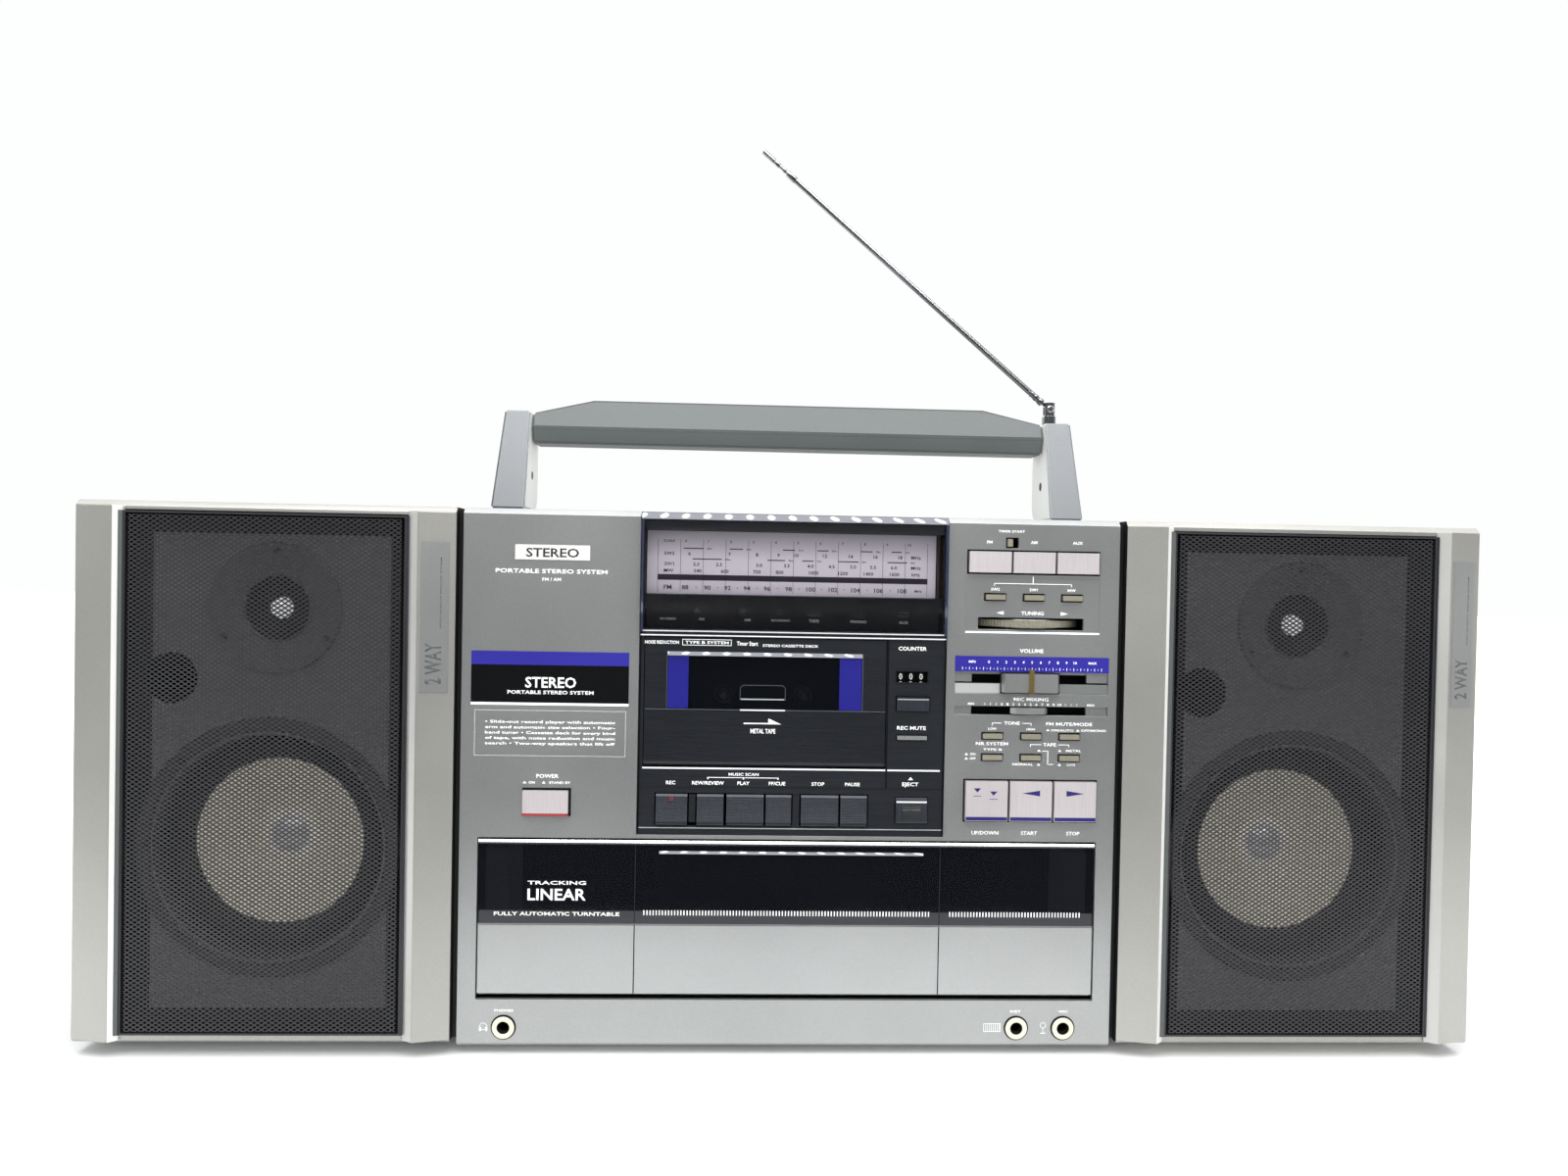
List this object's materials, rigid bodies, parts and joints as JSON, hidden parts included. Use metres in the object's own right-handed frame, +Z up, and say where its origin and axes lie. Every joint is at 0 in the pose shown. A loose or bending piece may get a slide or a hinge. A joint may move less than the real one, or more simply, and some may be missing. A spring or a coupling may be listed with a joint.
{
  "type": "portable stereo cassette player",
  "caption": "Portable stereo with tuner, cassette deck, glide-out record drawer, lift-off two-way speakers, folding carrying handle and telescopic antenna.",
  "frame": {"origin": "on the floor under the middle of the whole set", "axes": "+X to the viewer's right, +Y to the back, +Z up; the controls face -Y"},
  "size_m": [0.7262, 0.202, 0.5086],
  "materials": {
    "silver": "fine metallic silver-grey paint on moulded plastic",
    "speaker_silver": "warm metallic silver paint on moulded plastic",
    "dark_grey": "fine-grained grey plastic",
    "black": "satin black plastic",
    "clear": "clear polished acrylic",
    "smoked": "smoked polished acrylic",
    "white": "pale printed plastic",
    "pointer": "orange plastic",
    "pearl": "pearl-coloured satin plastic",
    "beige": "warm grey satin plastic",
    "steel": "plated steel",
    "chrome": "polished chrome plating",
    "circuit": "green circuit board",
    "jack_plastic": "cream socket bodies on a brown board",
    "grille_steel": "dark grey painted steel mesh",
    "cone": "paper cone on a dark basket"
  },
  "bodies": {
    "centre_unit": {"front_panel": "silver", "rear_cabinet": "dark_grey", "tuner_window": "clear", "dial_plate": "white", "deck_panel": "black", "tape_mechanism": "steel", "jack_board": "jack_plastic", "circuit_board": "circuit"},
    "drawer": {"drawer_tray": "silver", "drawer_window": "smoked"},
    "handle": {"handle_arm_left": "silver", "handle_arm_right": "silver", "handle_grip": "dark_grey"},
    "speaker_left": {"speaker_cabinet_left": "speaker_silver", "speaker_grille_left": "grille_steel", "woofer_left": "cone", "tweeter_left": "cone"},
    "speaker_right": {"speaker_cabinet_right": "speaker_silver", "speaker_grille_right": "grille_steel", "woofer_right": "cone", "tweeter_right": "cone"},
    "volume_slider": {"volume_slider": "silver"},
    "mic_slider": {"mic_slider": "silver"},
    "tonearm_carriage": {"tonearm_carriage": "dark_grey"},
    "record_mute_button": {"record_mute_button": "dark_grey"},
    "timer_switch": {"timer_switch": "dark_grey"},
    "cassette_door": {"cassette_door": "black"},
    "key_record": {"key_record": "black"},
    "key_rewind": {"key_rewind": "black"},
    "key_play": {"key_play": "black"},
    "key_forward": {"key_forward": "black"},
    "key_stop": {"key_stop": "black"},
    "key_pause": {"key_pause": "black"},
    "key_eject": {"key_eject": "black"},
    "counter_reset_button": {"counter_reset_button": "black"},
    "tuning_wheel": {"tuning_wheel": "black"},
    "platter": {"platter": "black"},
    "spindle_left": {"spindle_left": "white"},
    "spindle_right": {"spindle_right": "white"},
    "counter_drum": {"counter_drum": "white"},
    "dial_pointer": {"dial_pointer": "pointer"},
    "power_button": {"power_button": "pearl"},
    "source_button_fm": {"source_button_fm": "pearl"},
    "source_button_am": {"source_button_am": "pearl"},
    "source_button_aux": {"source_button_aux": "pearl"},
    "turntable_updown_button": {"turntable_updown_button": "pearl"},
    "turntable_start_button": {"turntable_start_button": "pearl"},
    "turntable_stop_button": {"turntable_stop_button": "pearl"},
    "band_button_sw2": {"band_button_sw2": "beige"},
    "band_button_sw1": {"band_button_sw1": "beige"},
    "band_button_mw": {"band_button_mw": "beige"},
    "tone_low_button": {"tone_low_button": "beige"},
    "tone_high_button": {"tone_high_button": "beige"},
    "mode_button": {"mode_button": "beige"},
    "noise_button": {"noise_button": "beige"},
    "tape_button_a": {"tape_button_a": "beige"},
    "tape_button_b": {"tape_button_b": "beige"},
    "antenna_base": {"antenna_base": "chrome"},
    "antenna_tube": {"antenna_tube": "chrome"},
    "antenna_rod": {"antenna_rod": "chrome"}
  },
  "joints": [
    {"name": "drawer_slide", "type": "slide", "parent": "centre_unit", "child": "drawer", "axis": [0, -1, 0], "range_m": [0, 0.16]},
    {"name": "platter_spin", "type": "hinge", "parent": "drawer", "child": "platter", "pos_m": [0, -0.0035, 0.04], "axis": [0, 0, -1], "continuous": true},
    {"name": "tonearm_slide", "type": "slide", "parent": "drawer", "child": "tonearm_carriage", "axis": [-1, 0, 0], "range_m": [0, 0.098]},
    {"name": "cassette_door_hinge", "type": "hinge", "parent": "centre_unit", "child": "cassette_door", "pos_m": [0, -0.0907, 0.1528], "axis": [1, 0, 0], "range_deg": [0, 30]},
    {"name": "spindle_left_spin", "type": "hinge", "parent": "centre_unit", "child": "spindle_left", "pos_m": [-0.0361, -0.084, 0.186], "axis": [0, 1, 0], "continuous": true},
    {"name": "spindle_right_spin", "type": "hinge", "parent": "centre_unit", "child": "spindle_right", "pos_m": [0.0065, -0.084, 0.186], "axis": [0, 1, 0], "continuous": true},
    {"name": "counter_spin", "type": "hinge", "parent": "centre_unit", "child": "counter_drum", "pos_m": [0.054, -0.0833, 0.1983], "axis": [1, 0, 0], "continuous": true},
    {"name": "tuning_wheel_turn", "type": "hinge", "parent": "centre_unit", "child": "tuning_wheel", "pos_m": [0.1242, -0.064, 0.2249], "axis": [0, 0, 1], "range_deg": [-1080, 0]},
    {"name": "pointer_slide", "type": "slide", "parent": "centre_unit", "child": "dial_pointer", "axis": [1, 0, 0], "range_m": [-0.148, 0]},
    {"name": "volume_slide", "type": "slide", "parent": "centre_unit", "child": "volume_slider", "axis": [1, 0, 0], "range_m": [-0.024, 0.024]},
    {"name": "mic_slide", "type": "slide", "parent": "centre_unit", "child": "mic_slider", "axis": [1, 0, 0], "range_m": [-0.025, 0.025]},
    {"name": "timer_slide", "type": "slide", "parent": "centre_unit", "child": "timer_switch", "axis": [1, 0, 0], "range_m": [0, 0.0027]},
    {"name": "key_record_press", "type": "slide", "parent": "centre_unit", "child": "key_record", "axis": [0, 1, 0], "range_m": [0, 0.004], "stiffness_N_per_m": 250},
    {"name": "key_rewind_press", "type": "slide", "parent": "centre_unit", "child": "key_rewind", "axis": [0, 1, 0], "range_m": [0, 0.004], "stiffness_N_per_m": 250},
    {"name": "key_play_press", "type": "slide", "parent": "centre_unit", "child": "key_play", "axis": [0, 1, 0], "range_m": [0, 0.004], "stiffness_N_per_m": 250},
    {"name": "key_forward_press", "type": "slide", "parent": "centre_unit", "child": "key_forward", "axis": [0, 1, 0], "range_m": [0, 0.004], "stiffness_N_per_m": 250},
    {"name": "key_stop_press", "type": "slide", "parent": "centre_unit", "child": "key_stop", "axis": [0, 1, 0], "range_m": [0, 0.004], "stiffness_N_per_m": 250},
    {"name": "key_pause_press", "type": "slide", "parent": "centre_unit", "child": "key_pause", "axis": [0, 1, 0], "range_m": [0, 0.004], "stiffness_N_per_m": 250},
    {"name": "key_eject_press", "type": "slide", "parent": "centre_unit", "child": "key_eject", "axis": [0, 1, 0], "range_m": [0, 0.004], "stiffness_N_per_m": 250},
    {"name": "counter_reset_button_press", "type": "slide", "parent": "centre_unit", "child": "counter_reset_button", "axis": [0, 1, 0], "range_m": [0, 0.0025], "stiffness_N_per_m": 250},
    {"name": "record_mute_button_press", "type": "slide", "parent": "centre_unit", "child": "record_mute_button", "axis": [0, 1, 0], "range_m": [0, 0.002], "stiffness_N_per_m": 250},
    {"name": "power_button_press", "type": "slide", "parent": "centre_unit", "child": "power_button", "axis": [0, 1, 0], "range_m": [0, 0.003], "stiffness_N_per_m": 250},
    {"name": "source_button_fm_press", "type": "slide", "parent": "centre_unit", "child": "source_button_fm", "axis": [0, 1, 0], "range_m": [0, 0.0025], "stiffness_N_per_m": 250},
    {"name": "source_button_am_press", "type": "slide", "parent": "centre_unit", "child": "source_button_am", "axis": [0, 1, 0], "range_m": [0, 0.0025], "stiffness_N_per_m": 250},
    {"name": "source_button_aux_press", "type": "slide", "parent": "centre_unit", "child": "source_button_aux", "axis": [0, 1, 0], "range_m": [0, 0.0025], "stiffness_N_per_m": 250},
    {"name": "turntable_updown_button_press", "type": "slide", "parent": "centre_unit", "child": "turntable_updown_button", "axis": [0, 1, 0], "range_m": [0, 0.0025], "stiffness_N_per_m": 250},
    {"name": "turntable_start_button_press", "type": "slide", "parent": "centre_unit", "child": "turntable_start_button", "axis": [0, 1, 0], "range_m": [0, 0.0025], "stiffness_N_per_m": 250},
    {"name": "turntable_stop_button_press", "type": "slide", "parent": "centre_unit", "child": "turntable_stop_button", "axis": [0, 1, 0], "range_m": [0, 0.0025], "stiffness_N_per_m": 250},
    {"name": "band_button_sw2_press", "type": "slide", "parent": "centre_unit", "child": "band_button_sw2", "axis": [0, 1, 0], "range_m": [0, 0.0015], "stiffness_N_per_m": 250},
    {"name": "band_button_sw1_press", "type": "slide", "parent": "centre_unit", "child": "band_button_sw1", "axis": [0, 1, 0], "range_m": [0, 0.0015], "stiffness_N_per_m": 250},
    {"name": "band_button_mw_press", "type": "slide", "parent": "centre_unit", "child": "band_button_mw", "axis": [0, 1, 0], "range_m": [0, 0.0015], "stiffness_N_per_m": 250},
    {"name": "tone_low_button_press", "type": "slide", "parent": "centre_unit", "child": "tone_low_button", "axis": [0, 1, 0], "range_m": [0, 0.0015], "stiffness_N_per_m": 250},
    {"name": "tone_high_button_press", "type": "slide", "parent": "centre_unit", "child": "tone_high_button", "axis": [0, 1, 0], "range_m": [0, 0.0015], "stiffness_N_per_m": 250},
    {"name": "mode_button_press", "type": "slide", "parent": "centre_unit", "child": "mode_button", "axis": [0, 1, 0], "range_m": [0, 0.0015], "stiffness_N_per_m": 250},
    {"name": "noise_button_press", "type": "slide", "parent": "centre_unit", "child": "noise_button", "axis": [0, 1, 0], "range_m": [0, 0.0015], "stiffness_N_per_m": 250},
    {"name": "tape_button_a_press", "type": "slide", "parent": "centre_unit", "child": "tape_button_a", "axis": [0, 1, 0], "range_m": [0, 0.0015], "stiffness_N_per_m": 250},
    {"name": "tape_button_b_press", "type": "slide", "parent": "centre_unit", "child": "tape_button_b", "axis": [0, 1, 0], "range_m": [0, 0.0015], "stiffness_N_per_m": 250},
    {"name": "handle_fold", "type": "hinge", "parent": "centre_unit", "child": "handle", "pos_m": [0, 0.007, 0.2975], "axis": [-1, 0, 0], "range_deg": [0, 90]},
    {"name": "antenna_swivel", "type": "hinge", "parent": "handle", "child": "antenna_base", "pos_m": [0.1605, 0.0115, 0.355], "axis": [0, 0, 1], "continuous": true},
    {"name": "antenna_tilt", "type": "hinge", "parent": "antenna_base", "child": "antenna_tube", "pos_m": [0.1605, 0.0115, 0.355], "axis": [0, 1, 0], "range_deg": [-40.4, 49.6]},
    {"name": "antenna_extend", "type": "slide", "parent": "antenna_tube", "child": "antenna_rod", "axis": [-0.7615, 0, 0.6481], "range_m": [0, 0.19]},
    {"name": "speaker_left_lift", "type": "slide", "parent": "centre_unit", "child": "speaker_left", "axis": [0, 0, 1], "range_m": [0, 0.146]},
    {"name": "speaker_right_lift", "type": "slide", "parent": "centre_unit", "child": "speaker_right", "axis": [0, 0, 1], "range_m": [0, 0.146]}
  ],
  "couplings": [
    {"joint": "pointer_slide", "follows": "tuning_wheel_turn", "m_per_rad": 0.00785},
    {"joint": "counter_spin", "follows": "spindle_right_spin", "ratio": 0.05}
  ]
}
